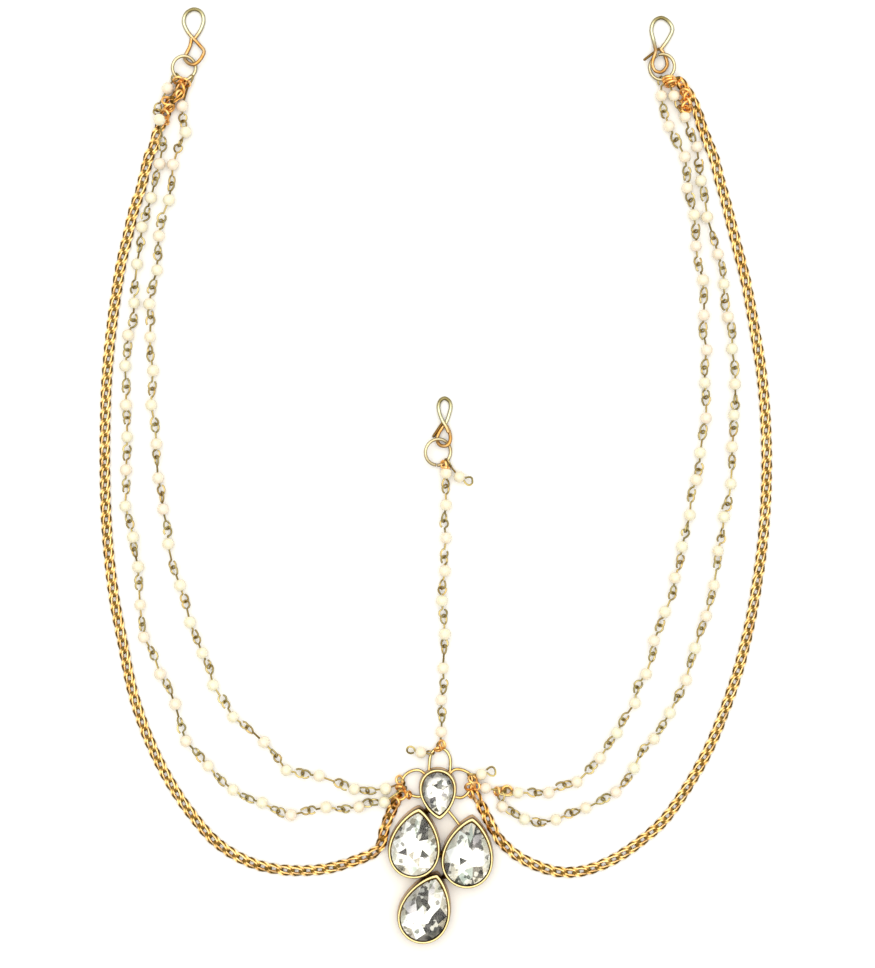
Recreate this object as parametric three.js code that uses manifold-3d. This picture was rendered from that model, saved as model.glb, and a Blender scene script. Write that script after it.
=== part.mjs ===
// Matha patti: a head chain for the forehead and the parting. From a hook and ring over
// each ear a curb chain and two strings of pearls hang down to a pendant of four pear
// stones, and a fifth string of pearls runs up from the pendant to a hook of its own.
//
// Millimetres. It lies on its back on a surface, +Z up and +Y towards the hooks. The origin
// is in the middle of its outline, on that surface.

import * as THREE from "three";
import { mergeVertices } from "three/addons/utils/BufferGeometryUtils.js";
import Module from "manifold-3d";

const wasm = await Module();
wasm.setup();

// ---- Driving sizes ----

const PEARL = 3.3; // diameter of a pearl, and of the string round it
const PIN_WIRE = 0.6; // wire of the eye pins that carry the pearls
const PIN_EYE = 1.5; // centre line diameter of a pin's open eye
const CURB_WIDTH = 2.8;
const CURB_HEIGHT = 1.6; // the twisted links lie flat
const HOOK_WIRE = 1.0;
const RING_WIRE = 0.95;
const LOOP_WIRE = 1.0; // side loops and bail of the pendant
const STRUT_WIRE = 0.8;

const SIDES = 8; // of a string, a chain or a ring in section
const WIRE_SIDES = 6;
const PEARL_SIDES = 8; // round a loose pearl
const PEARL_ROWS = 6; // from its one pole to the other
const RING_STEPS = 20; // round a ring
const EYE_STEPS = 10; // round a pin's open eye
const STRING_STEP = 2 * PEARL; // distance between two sections of a string
const CURB_STEPS = 72; // sections along a curb chain
const WIRE_STEP = 1.5; // distance between two sections of a bent wire
const PIN_STEP = 2.5;

const CUP_WALL = 0.9;
const CUP_FLOOR = 0.8;
const STONE_GAP = 0.3; // free space between a stone and its cup
const PEAR_SIDES = 24;
const PEAR_SHOULDER = 0.55; // 0 is an oval, 1 a drop with straight flanks
const LOOP_HEIGHT = 1.2; // centre line of the side loops and the bail
const SOLDER_HEIGHT = 3.0;
const SOLDER_SIDES = 8;

const ON_SURFACE = PEARL / 2; // height of a pearl's middle where it lies
const CURB_ON_SURFACE = 0.9;
const RING_CLEARANCE = 0.05; // under a ring's lowest side

// A stone's levels. share: of the girdle's width. The foot is measured up from the stone's
// lowest point, the girdle down from the cup's rim and the crown up from it.
const STONE = {
  foot: { share: 0.35, rise: 0.3 },
  girdle: { low: 0.9, high: 0.5 },
  crown: { share: 0.86, rise: 0.4 },
  table: { share: 0.58, rise: 1.0 },
};

// ---- Materials ----

const metal = (color, roughness) => new THREE.MeshStandardMaterial({ color, roughness, metalness: 1 });
const FINISH = {
  pale_gold: () => metal(0xd9c68a, 0.25),
  orange_gold: () => metal(0xd9a35a, 0.3),
  bezel_gold: () => metal(0xdcb96c, 0.28),
  pearl: () => new THREE.MeshStandardMaterial({ color: 0xf3e9d2, roughness: 0.3, metalness: 0 }),
  stone: () => new THREE.MeshStandardMaterial({ color: 0xe8ecee, roughness: 0.05, metalness: 0 }),
};

// ---- Shared shapes ----

// A closed mesh with shared corners: only positions, no triangle that has shrunk to a line.
function welded(geometry) {
  const bare = geometry.clone();
  bare.deleteAttribute("normal");
  bare.deleteAttribute("uv");
  const merged = mergeVertices(bare, 1e-4);
  const corners = merged.index.array;
  const kept = [];
  for (let i = 0; i < corners.length; i += 3) {
    const [a, b, c] = corners.slice(i, i + 3);
    if (a !== b && b !== c && c !== a) kept.push(a, b, c);
  }
  merged.setIndex(kept);
  return merged;
}

function toSolid(geometry) {
  const mesh = welded(geometry);
  return new wasm.Manifold(
    new wasm.Mesh({
      numProp: 3,
      vertProperties: new Float32Array(mesh.attributes.position.array),
      triVerts: new Uint32Array(mesh.index.array),
    }),
  );
}

// Joins closed shapes that run into each other into one.
function soldered(shapes) {
  const joined = shapes.map(toSolid).reduce((all, next) => all.add(next));
  const { vertProperties, triVerts } = joined.getMesh();
  const geometry = new THREE.BufferGeometry();
  geometry.setAttribute("position", new THREE.BufferAttribute(new Float32Array(vertProperties), 3));
  geometry.setIndex(Array.from(triVerts));
  return geometry;
}

// A section with flats above and below. Its x lies along the height of a level run.
function section(width, height, sides) {
  const corners = Array.from({ length: sides }, (_, i) => ((i + 0.5) * 2 * Math.PI) / sides);
  return new THREE.Shape(
    corners.map((a) => new THREE.Vector2((Math.cos(a) * height) / 2, (Math.sin(a) * width) / 2)),
  );
}

// A smooth curve through points, along which a section stays level however the curve turns.
class LevelCurve extends THREE.CatmullRomCurve3 {
  constructor(points) {
    super(points.map(([x, y, z]) => new THREE.Vector3(x, y, z)), false, "centripetal");
  }

  computeFrenetFrames(segments) {
    const up = new THREE.Vector3(0, 0, 1);
    const tangents = Array.from({ length: segments + 1 }, (_, i) => this.getTangentAt(i / segments));
    const binormals = tangents.map((along) => up.clone().cross(along).normalize());
    const normals = tangents.map((along, i) => binormals[i].clone().cross(along));
    return { tangents, normals, binormals };
  }
}

// A bar of that section along a smooth curve through the points.
function bar(points, { width, height = width, sides = SIDES, step, steps }) {
  const route = new LevelCurve(points);
  return new THREE.ExtrudeGeometry(section(width, height, sides), {
    extrudePath: route,
    steps: steps ?? Math.max(2, Math.ceil(route.getLength() / step)),
    bevelEnabled: false,
  });
}

const wire = (points, width) => bar(points, { width, sides: WIRE_SIDES, step: WIRE_STEP });
const pin = (points) => bar(points, { width: PIN_WIRE, sides: WIRE_SIDES, step: PIN_STEP });

const pearlAt = ([x, y, z]) =>
  new THREE.SphereGeometry(PEARL / 2, PEARL_SIDES, PEARL_ROWS).translate(x, y, z);

// ---- Hooks and rings ----

// Each hook is one wire: the hairpin loop goes up from the neck and comes back to it, and
// the eye goes down round the ring. A cut end may stand out at the neck. Columns: x, y, z.
const HOOKS = {
  left: {
    loop: [
      [-66.1, 118.0, 0.7],
      [-67.4, 120.1, 0.6],
      [-68.3, 122.8, 0.55],
      [-67.4, 125.0, 0.55],
      [-65.4, 125.9, 0.55],
      [-63.6, 125.1, 0.55],
      [-62.9, 122.9, 0.55],
      [-63.7, 120.3, 0.6],
      [-65.2, 118.0, 0.8],
    ],
    eye: [
      [-66.1, 118.2, 0.7],
      [-66.5, 116.0, 0.7],
      [-67.4, 114.1, 0.6],
      [-68.0, 112.8, 0.65],
      [-67.1, 111.3, 1.4],
      [-65.5, 110.6, 2.3],
      [-64.2, 111.3, 2.6],
      [-63.0, 113.0, 2.3],
      [-62.7, 114.4, 1.9],
      [-63.9, 116.0, 1.4],
      [-65.3, 118.2, 0.9],
    ],
  },
  right: {
    loop: [
      [59.9, 114.8, 0.9],
      [58.9, 117.4, 0.6],
      [58.3, 120.4, 0.55],
      [59.2, 122.8, 0.55],
      [61.0, 123.6, 0.55],
      [62.9, 122.6, 0.55],
      [64.0, 120.6, 0.55],
      [63.1, 118.2, 0.6],
      [60.8, 114.9, 0.7],
    ],
    eye: [
      [60.8, 115.1, 0.7],
      [61.8, 113.7, 0.55],
      [62.4, 112.1, 0.6],
      [62.5, 110.6, 0.9],
      [60.9, 108.7, 1.6],
      [59.1, 109.1, 2.2],
      [58.4, 110.9, 2.5],
      [58.8, 112.6, 2.7],
      [59.3, 114.0, 2.4],
      [60.3, 115.3, 1.4],
    ],
    cut_end: [
      [60.4, 115.2, 0.9],
      [58.3, 113.5, 2.2],
      [56.5, 111.7, 2.6],
    ],
  },
  centre: {
    loop: [
      [1.5, 14.2, 0.7],
      [0.9, 16.8, 0.6],
      [0.7, 18.7, 0.55],
      [1.3, 20.1, 0.55],
      [2.4, 20.6, 0.55],
      [3.6, 19.8, 0.55],
      [4.0, 18.2, 0.55],
      [3.5, 16.3, 0.6],
      [2.3, 14.2, 0.8],
    ],
    eye: [
      [2.3, 14.4, 0.8],
      [3.4, 11.8, 1.6],
      [3.9, 9.8, 2.4],
      [3.4, 8.1, 2.6],
      [2.3, 7.6, 2.2],
      [1.1, 8.0, 1.5],
      [0.3, 9.5, 0.8],
      [0.4, 11.2, 0.7],
      [1.6, 14.4, 0.7],
    ],
    cut_end: [
      [1.4, 13.6, 0.7],
      [0.4, 12.2, 0.6],
      [-0.6, 10.3, 0.55],
    ],
  },
};

// The rings tilt, so that one side lies on the surface and the other lets the eye through.
// uphill is the direction in which a ring rises, in degrees from +X, anticlockwise.
const RINGS = {
  left: { x: -68.1, y: 109.9, radius: 3.15, tilt: 18.5, uphill: 140 },
  right: { x: 61.1, y: 110.1, radius: 3.45, tilt: 20, uphill: 0 },
  centre: { x: 0.55, y: 6.0, radius: 3.55, tilt: 18.5, uphill: 155 },
};

function hook({ loop, eye, cut_end }) {
  const top = Math.floor(loop.length / 2);
  const bend = Math.floor(eye.length / 2);
  // Each closed stretch is made in two halves that overlap by one step at the far end.
  const halves = [loop.slice(0, top + 2), loop.slice(top), eye.slice(0, bend + 2), eye.slice(bend)];
  if (cut_end) halves.push(cut_end);
  return soldered(halves.map((points) => wire(points, HOOK_WIRE)));
}

function ring({ x, y, radius, tilt, uphill }) {
  const slope = THREE.MathUtils.degToRad(tilt);
  const heading = THREE.MathUtils.degToRad(uphill);
  const lift = radius * Math.sin(slope) + RING_WIRE / 2 + RING_CLEARANCE;
  return new THREE.TorusGeometry(radius, RING_WIRE / 2, SIDES, RING_STEPS)
    .rotateY(-slope)
    .rotateZ(heading)
    .translate(x, y, lift);
}

// ---- Curb chains ----

// Routes of the two outer chains, ring to pendant. Columns: x, y and, where the chain is
// lifted off the surface, z.
const CURBS = {
  left: [
    [-68.7, 106.2, 1.5],
    [-69.1, 103.5, 2.6],
    [-70.3, 101.8, 2.9],
    [-71.8, 100.4, 2.3],
    [-72.8, 98.6, 1.4],
    [-73.6, 96.3],
    [-75.3, 92.9],
    [-76.0, 89.5],
    [-77.4, 86.8],
    [-78.3, 83.6],
    [-80.0, 76.8],
    [-81.9, 71.0],
    [-83.5, 64.0],
    [-85.1, 57.5],
    [-86.8, 47.0],
    [-88.1, 37.0],
    [-89.1, 25.5],
    [-89.5, 14.5],
    [-89.6, 1.0],
    [-89.2, -12.5],
    [-88.4, -23.0],
    [-87.0, -34.0],
    [-84.9, -45.0],
    [-81.9, -59.5],
    [-77.8, -71.5],
    [-72.7, -82.0],
    [-66.5, -91.5],
    [-58.9, -100.0],
    [-49.5, -105.3],
    [-39.5, -107.2],
    [-29.0, -106.6],
    [-21.0, -104.2],
    [-17.2, -102.6],
    [-15.2, -100.8],
    [-14.5, -98.3],
    [-13.9, -95.6],
    [-12.8, -93.0],
    [-11.2, -90.9],
    [-9.6, -88.9, 1.1],
    [-8.0, -86.9, 1.2],
  ],
  right: [
    [65.0, 106.0, 2.0],
    [66.6, 105.2, 1.8],
    [68.0, 103.4, 1.3],
    [69.2, 101.2],
    [70.5, 99.0],
    [71.3, 96.3],
    [72.1, 93.6],
    [73.2, 90.9],
    [74.5, 87.6],
    [75.5, 84.9],
    [76.8, 79.5],
    [78.4, 74.0],
    [80.0, 67.5],
    [81.6, 61.2],
    [83.8, 52.5],
    [86.2, 39.5],
    [88.1, 27.5],
    [89.2, 14.5],
    [89.5, 0.0],
    [88.6, -16.5],
    [86.5, -32.0],
    [83.8, -45.5],
    [79.7, -59.5],
    [72.7, -76.5],
    [62.2, -93.0],
    [56.2, -98.6],
    [48.4, -104.0],
    [40.3, -107.2],
    [33.5, -107.6],
    [27.5, -106.0],
    [22.0, -103.2],
    [17.9, -99.6],
    [16.0, -97.0],
    [14.6, -94.3],
    [13.3, -91.7],
    [12.0, -89.2],
    [11.0, -87.2],
    [10.5, -86.2],
  ],
};

function curbChain(route) {
  const points = route.map(([x, y, z = CURB_ON_SURFACE]) => [x, y, z]);
  const size = 1 / Math.cos(Math.PI / SIDES); // the flats touch the chain's own width and height
  return bar(points, { width: CURB_WIDTH * size, height: CURB_HEIGHT * size, steps: CURB_STEPS });
}

// ---- Strings of pearls ----

// pearls: the middle of every pearl along a string. Columns: x, y and, where the string is
// lifted, z. A row with bare true has no pearl and only guides the string.
// head and foot: the bare pin wire from the first and the last pearl to what carries it.
// loose: how many pearls at the head hang on bare wire, before the closed string starts.
const bare = true;
const STRINGS = {
  left_outer: {
    head: [
      [-70.9, 107.1, 1.7],
      [-71.7, 105.8, 1.7],
    ],
    pearls: [
      [-72.5, 104.3],
      [-75.3, 99.4, 1.2, bare],
      [-75.3, 97.2, 2.4, bare],
      [-74.5, 95.5, 4.0],
      [-73.6, 92.3, 3.9, bare],
      [-73.0, 89.6, 2.8, bare],
      [-74.7, 83.9],
      [-77.0, 74.7],
      [-79.5, 66.8],
      [-80.8, 56.8],
      [-81.6, 46.3],
      [-83.2, 37.6],
      [-84.0, 29.3],
      [-83.8, 18.7],
      [-83.5, 10.1],
      [-83.8, 1.2],
      [-84.0, -8.6],
      [-81.9, -17.0],
      [-80.5, -25.0],
      [-80.0, -35.3],
      [-79.0, -44.0],
      [-74.6, -54.0],
      [-70.5, -62.1],
      [-67.6, -72.1],
      [-61.6, -78.8],
      [-54.9, -85.3],
      [-47.0, -88.8],
      [-39.2, -92.1],
      [-29.7, -90.0],
      [-20.8, -89.9],
      [-14.0, -88.6],
    ],
    loose: 3,
    foot: [
      [-11.6, -87.2, 1.4],
      [-10.4, -86.0, 1.2],
      [-9.5, -85.4, 1.2],
    ],
  },
  left_inner: {
    head: [
      [-66.1, 106.5, 0.7],
      [-66.9, 103.4, 0.5],
    ],
    pearls: [
      [-68.6, 99.5],
      [-67.7, 92.5],
      [-71.1, 83.7],
      [-72.2, 74.1],
      [-74.9, 64.4],
      [-75.4, 55.2],
      [-77.5, 46.0],
      [-77.3, 37.1],
      [-76.5, 28.0],
      [-77.0, 18.7],
      [-75.6, 8.2],
      [-75.1, -1.0],
      [-73.8, -9.4],
      [-72.4, -18.8],
      [-69.2, -30.0],
      [-66.5, -40.0],
      [-63.2, -48.3],
      [-60.3, -57.0],
      [-54.9, -65.6],
      [-46.5, -72.4],
      [-40.5, -80.0],
      [-31.6, -81.5],
      [-22.1, -85.1],
      [-13.6, -85.0],
    ],
    foot: [
      [-11.6, -84.4, 1.3],
      [-10.1, -83.7, 1.2],
    ],
  },
  right_inner: {
    head: [
      [60.6, 105.8, 1.5],
      [60.7, 104.2, 1.5],
    ],
    pearls: [
      [60.9, 102.3],
      [63.0, 94.1],
      [67.3, 85.8],
      [67.9, 77.4],
      [69.8, 70.1],
      [70.3, 61.7],
      [72.2, 52.5],
      [72.4, 43.0],
      [73.2, 33.6],
      [72.7, 24.7],
      [73.0, 15.2],
      [71.4, 5.8],
      [70.3, -1.5],
      [68.6, -11.0],
      [66.5, -19.6],
      [64.6, -28.0],
      [61.9, -37.2],
      [58.9, -45.0],
      [56.8, -54.0],
      [53.8, -61.8],
      [48.9, -69.9],
      [44.3, -76.7],
      [38.1, -83.2],
      [30.5, -86.1],
      [22.2, -86.1],
      [13.4, -84.8],
    ],
    foot: [
      [12.1, -84.0, 1.3],
      [10.6, -83.1, 1.2],
    ],
  },
  right_outer: {
    head: [
      [62.2, 106.0, 1.8],
      [63.0, 104.2, 1.3],
    ],
    pearls: [
      [64.3, 102.3],
      [67.3, 96.6],
      [70.5, 88.5],
      [71.6, 79.3],
      [73.3, 69.5],
      [76.2, 59.5],
      [77.8, 51.4],
      [78.9, 42.5],
      [80.0, 33.9],
      [80.8, 24.4],
      [80.5, 16.0],
      [80.0, 7.4],
      [79.7, -2.6],
      [77.8, -11.5],
      [76.2, -20.7],
      [75.1, -30.0],
      [73.0, -38.3],
      [70.0, -47.0],
      [67.6, -55.6],
      [63.2, -64.5],
      [58.9, -71.5],
      [53.5, -79.4],
      [48.6, -85.9],
      [40.5, -90.2],
      [32.4, -93.4],
      [23.9, -93.2],
      [17.9, -89.8],
    ],
    foot: [
      [17.6, -88.4, 1.6],
      [17.5, -87.5, 1.6],
    ],
  },
  centre: {
    head: [
      [2.5, 2.2, 1.3],
      [2.7, 1.2, 1.5],
    ],
    pearls: [
      [2.7, 0.3],
      [2.7, -8.3],
      [2.7, -17.2],
      [2.4, -26.1],
      [1.6, -34.2],
      [2.4, -43.2],
      [1.9, -52.4],
      [1.4, -61.0],
      [1.4, -69.6],
    ],
    foot: [
      [1.3, -71.5, 1.4],
      [1.2, -73.3, 1.2],
    ],
  },
};

function pearlString({ head, pearls, foot, loose = 0 }) {
  const points = pearls.map(([x, y, z = ON_SURFACE]) => [x, y, z]);
  const first = points[loose];
  const last = points[points.length - 1];
  const loosePearls = pearls.slice(0, loose).flatMap((row, i) => (row[3] ? [] : [pearlAt(points[i])]));
  return soldered([
    bar(points.slice(loose), { width: PEARL, step: STRING_STEP }),
    pin([...head, ...points.slice(0, loose), first]),
    pin([last, ...foot]),
    ...loosePearls,
  ]);
}

// ---- Spare pearls ----

// One pearl on a pin whose far eye is open, left over where a string begins or ends.
// lead: the pin from what carries it to the pearl. Columns: x, y, z.
const TAILS = {
  centre_ring: { lead: [[3.3, 2.8, 1.2], [4.9, 1.0, 1.4]], pearl: [6.3, -0.7], eye: [8.7, -1.7] },
  bail: { lead: [[-2.1, -75.2, 1.5], [-2.8, -75.2, 1.6]], pearl: [-4.1, -75.2], eye: [-6.8, -74.5] },
  right_loop: { lead: [[10.4, -81.5, 1.4], [11.2, -81.3, 1.6]], pearl: [12.3, -81.1], eye: [15.0, -80.4] },
};

function tail({ lead, pearl, eye }) {
  const middle = [...pearl, ON_SURFACE];
  const openEye = new THREE.TorusGeometry(PIN_EYE / 2, PIN_WIRE / 2, WIRE_SIDES, EYE_STEPS);
  openEye.translate(...eye, ON_SURFACE);
  const towards = new THREE.Vector2(...eye).sub(new THREE.Vector2(...pearl));
  const reach = towards.clone().setLength(towards.length() - PIN_EYE / 2);
  const eyeEdge = [pearl[0] + reach.x, pearl[1] + reach.y, ON_SURFACE];
  return soldered([pearlAt(middle), pin([...lead, middle, eyeEdge]), openEye]);
}

// ---- Pendant ----

// x, y: the middle of a cup's round end. turn: how far its tip is turned clockwise from +Y.
const CUPS = {
  top: { x: 0.5, y: -84.8, turn: 176.5, width: 10.4, length: 14.3, height: 4.4 },
  left: { x: -5.9, y: -101.4, turn: 6.5, width: 14.4, length: 19.7, height: 5.0 },
  right: { x: 8.4, y: -104.0, turn: 7, width: 14.4, length: 19.8, height: 5.0 },
  bottom: { x: -3.3, y: -118.9, turn: 18, width: 14.4, length: 20.0, height: 5.0 },
};

// Where two cups touch, a drop of solder joins them.
const SOLDER = [
  { x: -2.2, y: -90.8, radius: 0.9 },
  { x: 1.2, y: -102.6, radius: 0.8 },
  { x: -2.7, y: -108.4, radius: 0.8 },
  { x: 2.6, y: -108.5, radius: 0.9 },
];

const SIDE_LOOPS = {
  left: [
    [-2.8, -81.1],
    [-4.6, -80.0],
    [-6.5, -80.2],
    [-8.4, -81.4],
    [-9.2, -83.4],
    [-8.6, -85.2],
    [-6.8, -86.7],
    [-4.9, -87.2],
    [-3.4, -87.0],
  ],
  right: [
    [3.6, -81.0],
    [5.2, -79.8],
    [7.6, -80.1],
    [9.5, -81.5],
    [9.6, -84.0],
    [8.7, -86.1],
    [7.0, -87.4],
    [4.9, -87.2],
  ],
};

const BAIL = [
  [-1.9, -80.6],
  [-1.8, -78.4],
  [-1.5, -76.2],
  [-0.5, -74.6],
  [1.1, -74.0],
  [2.7, -74.7],
  [3.7, -76.3],
  [3.9, -78.5],
  [3.7, -80.7],
];

const STRUT = [
  [2.9, -90.8],
  [4.9, -92.2],
  [6.2, -94.9],
];

// A body turned from a profile, its round plan redrawn as a pear. Profile columns: share of
// the full width, height. A point at angle t from the tip lies at sin(t) * sin(t / 2) ** n
// across and cos(t) along, measured from the widest place, and every share shrinks towards
// that place, so a wall is even round the bowl and thicker at the tip.
function pearBody(profile, width, length) {
  const n = PEAR_SHOULDER;
  const widest = -n / (2 + n); // cos(t) where the pear is widest
  const half = (t) => Math.sin(t) * Math.sin(t / 2) ** n;
  const broadest = half(Math.acos(widest));
  const turned = new THREE.LatheGeometry(
    profile.map(([share, height]) => new THREE.Vector2(share, height)),
    PEAR_SIDES,
  ).rotateX(Math.PI / 2);
  const place = turned.attributes.position;
  for (let i = 0; i < place.count; i += 1) {
    const [x, y] = [place.getX(i), place.getY(i)];
    const share = Math.hypot(x, y);
    const t = Math.abs(Math.atan2(x, y));
    place.setX(i, share * Math.sign(x) * (half(t) / broadest) * (width / 2));
    place.setY(i, share * (Math.cos(t) - widest) * (length / 2));
  }
  return turned;
}

const settle = (body, { x, y, turn }) =>
  body.rotateZ(-THREE.MathUtils.degToRad(turn)).translate(x, y, 0);

function cup(size) {
  const inside = 1 - (2 * CUP_WALL) / size.width;
  const profile = [
    [0, 0],
    [1, 0],
    [1, size.height],
    [inside, size.height],
    [inside, CUP_FLOOR],
    [0, CUP_FLOOR],
  ];
  return settle(pearBody(profile, size.width, size.length), size);
}

// A stone's girdle stands a little under the rim, and its crown rises above it.
function stone(size) {
  const girdle = 1 - (2 * (CUP_WALL + STONE_GAP)) / size.width;
  const bottom = CUP_FLOOR + STONE_GAP;
  const rim = size.height;
  const profile = [
    [0, bottom],
    [girdle * STONE.foot.share, bottom + STONE.foot.rise],
    [girdle, rim - STONE.girdle.low],
    [girdle, rim - STONE.girdle.high],
    [girdle * STONE.crown.share, rim + STONE.crown.rise],
    [girdle * STONE.table.share, rim + STONE.table.rise],
    [0, rim + STONE.table.rise],
  ];
  return settle(pearBody(profile, size.width, size.length), size);
}

function pendantSetting() {
  const atLoopHeight = (points) => points.map(([x, y]) => [x, y, LOOP_HEIGHT]);
  const drops = SOLDER.map(({ x, y, radius }) =>
    new THREE.CylinderGeometry(radius, radius, SOLDER_HEIGHT, SOLDER_SIDES)
      .rotateX(Math.PI / 2)
      .translate(x, y, SOLDER_HEIGHT / 2),
  );
  return soldered([
    ...Object.values(CUPS).map(cup),
    ...drops,
    wire(atLoopHeight(SIDE_LOOPS.left), LOOP_WIRE),
    wire(atLoopHeight(SIDE_LOOPS.right), LOOP_WIRE),
    wire(atLoopHeight(BAIL), LOOP_WIRE),
    wire(atLoopHeight(STRUT), STRUT_WIRE),
  ]);
}

// ---- The whole piece ----

const mathaPatti = new THREE.Group();

function add(name, geometry, material) {
  const mesh = new THREE.Mesh(welded(geometry), material);
  mesh.name = name;
  mathaPatti.add(mesh);
}

for (const place of ["left", "right", "centre"]) {
  add(`${place}_hook`, hook(HOOKS[place]), FINISH.pale_gold());
  add(`${place}_ring`, ring(RINGS[place]), FINISH.pale_gold());
}
for (const [side, route] of Object.entries(CURBS)) {
  add(`${side}_curb_chain`, curbChain(route), FINISH.orange_gold());
}
for (const [place, string] of Object.entries(STRINGS)) {
  add(`${place}_pearl_strand`, pearlString(string), FINISH.pearl());
}
for (const [place, spare] of Object.entries(TAILS)) {
  add(`${place}_tail`, tail(spare), FINISH.pearl());
}
add("pendant_setting", pendantSetting(), FINISH.bezel_gold());
for (const [place, size] of Object.entries(CUPS)) {
  add(`stone_${place}`, stone(size), FINISH.stone());
}

export default mathaPatti;
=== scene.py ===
import bmesh
import bpy
import numpy as np
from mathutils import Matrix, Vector


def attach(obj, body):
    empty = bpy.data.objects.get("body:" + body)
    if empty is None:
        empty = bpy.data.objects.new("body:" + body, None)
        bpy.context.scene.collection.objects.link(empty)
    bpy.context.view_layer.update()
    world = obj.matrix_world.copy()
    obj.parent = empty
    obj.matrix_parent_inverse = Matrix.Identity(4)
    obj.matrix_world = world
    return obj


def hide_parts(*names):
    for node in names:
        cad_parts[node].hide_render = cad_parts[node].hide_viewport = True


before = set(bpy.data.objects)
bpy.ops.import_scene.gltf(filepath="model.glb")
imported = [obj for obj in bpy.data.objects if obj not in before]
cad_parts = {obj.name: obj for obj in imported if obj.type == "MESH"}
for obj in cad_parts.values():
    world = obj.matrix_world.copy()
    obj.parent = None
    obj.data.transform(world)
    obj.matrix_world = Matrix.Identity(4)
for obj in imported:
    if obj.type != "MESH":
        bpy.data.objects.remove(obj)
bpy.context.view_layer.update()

MM = 0.001
rng = np.random.default_rng(11)
scene = bpy.context.scene

# ---- Driving sizes, in metres ----

PEARL = 3.3 * MM
PIN_WIRE = 0.55 * MM
EYE_RADIUS = 1.12 * MM  # centre line of a pin's eye
CURB_PITCH = 3.1 * MM
CURB_WIRE = 1.1 * MM
CURB_WIDTH = 3.0 * MM
HOOK_WIRE = 1.0 * MM
CUT_END_WIRE = 0.75 * MM
RING_WIRE = 0.9 * MM
JOINT_WIRE = 0.75 * MM
LOOP_WIRE = 0.85 * MM
STRUT_WIRE = 0.8 * MM

ON_SURFACE = PEARL / 2  # height of a pearl's middle
CURB_ON_SURFACE = 0.7 * MM  # height of a chain's middle
LOOP_HEIGHT = 1.2 * MM  # of the pendant's wires
CUP_FLOOR = 0.8 * MM
PEAR_SHOULDER = 0.55  # 0 is an oval, 1 a drop with straight flanks

# ---- Where things lie, in millimetres ----

# One wire each, from its cut end round the eye that holds the ring, then round the hairpin
# loop. neck: the y at which the wire crosses itself. cut_end: another end that stands out there.
# Columns: x, y, z.
HOOKS = {
    "left": {
        "neck": 118,
        "wire": [
            (-66.1, 118.2, 0.7), (-66.5, 116, 0.7), (-67.4, 114.1, 0.6), (-68, 112.8, 0.65),
            (-67.1, 111.3, 1.4), (-65.5, 110.6, 2.3), (-64.2, 111.3, 2.6), (-63, 113, 2.3),
            (-62.7, 114.4, 1.9), (-63.9, 116, 1.4), (-67.4, 120.1, 0.6), (-68.3, 122.8, 0.55),
            (-67.4, 125, 0.55), (-65.4, 125.9, 0.55), (-63.6, 125.1, 0.55), (-62.9, 122.9, 0.55),
            (-63.7, 120.3, 0.6), (-65.2, 118, 0.8),
        ],
    },
    "right": {
        "neck": 114.8,
        "wire": [
            (60.8, 115.1, 0.7), (61.8, 113.7, 0.55), (62.4, 112.1, 0.6), (62.5, 110.6, 0.9),
            (60.9, 108.7, 1.6), (59.1, 109.1, 2.2), (58.4, 110.9, 2.5), (58.8, 112.6, 2.7),
            (59.3, 114, 2.4), (58.9, 117.4, 0.6), (58.3, 120.4, 0.55), (59.2, 122.8, 0.55),
            (61, 123.6, 0.55), (62.9, 122.6, 0.55), (64, 120.6, 0.55), (63.1, 118.2, 0.6),
            (60.8, 114.9, 0.7),
        ],
        "cut_end": [(60.2, 115, 1.5), (58.3, 113.5, 2.2), (56.3, 111.9, 2.6)],
    },
    "centre": {
        "neck": 12.8,
        "wire": [
            (3, 12.9, 1.2), (3.6, 11.5, 1.4), (3.9, 9.7, 2.2), (3.4, 8.1, 2.6), (2.2, 7.6, 2.2),
            (1, 8, 1.5), (0.3, 9.4, 0.8), (0.7, 11, 0.7), (2.9, 14.4, 0.6), (3.6, 16.4, 0.55),
            (4, 18.3, 0.55), (3.6, 19.8, 0.55), (2.4, 20.6, 0.55), (1.3, 20.1, 0.55),
            (0.7, 18.7, 0.6), (0.9, 16.8, 0.8), (1.7, 14.6, 1.5), (2.7, 12.9, 1.9),
            (3.3, 11.5, 1.9),
        ],
        "cut_end": [(1.7, 13.9, 0.9), (0.5, 12.1, 0.6), (-0.7, 10.3, 0.5)],
    },
}

# The rings in the hooks' eyes. Columns: middle x, y, z, radius, tilt and the heading in which
# the ring rises, in degrees. A ring that would go under the surface is lifted onto it.
RINGS = {
    "left": (-68.1, 109.9, 0, 3.15, 18.5, 140),
    "right": (61.1, 110.1, 0, 3.45, 20, 0),
    "centre": (0.55, 6.0, 0, 3.55, 18.5, 155),
}

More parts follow.
